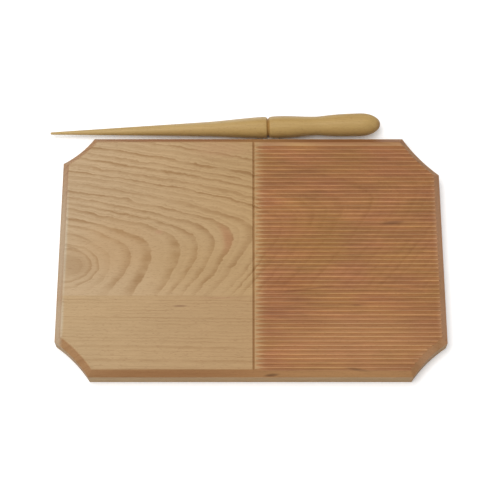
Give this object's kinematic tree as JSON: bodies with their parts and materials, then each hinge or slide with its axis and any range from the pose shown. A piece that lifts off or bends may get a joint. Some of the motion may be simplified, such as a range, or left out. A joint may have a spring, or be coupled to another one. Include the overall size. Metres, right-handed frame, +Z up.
{
  "type": "gnocchi board",
  "caption": "Wooden gnocchi board with a plain half and a finely ridged half, bevelled edges and hollowed corners, with a loose turned rolling stick lying behind it.",
  "frame": {"origin": "middle of the board's length and width, on its underside", "axes": "+X along the board towards the ridged end, +Y towards the rear edge and the stick, +Z up out of the ridged face"},
  "size_m": [0.313, 0.2237, 0.0194],
  "materials": {
    "board_wood": "planed and sanded beech, unfinished, matt",
    "stick_wood": "turned and sanded pale beech, unfinished, satin"
  },
  "bodies": {
    "board": {"rear_stave": "board_wood", "front_stave": "board_wood"},
    "stick": {"stick": "stick_wood"}
  },
  "joints": [
    {"name": "stick_lift", "type": "slide", "parent": "board", "child": "stick", "axis": [0, 0, 1], "range_m": [0, 0.12]}
  ]
}
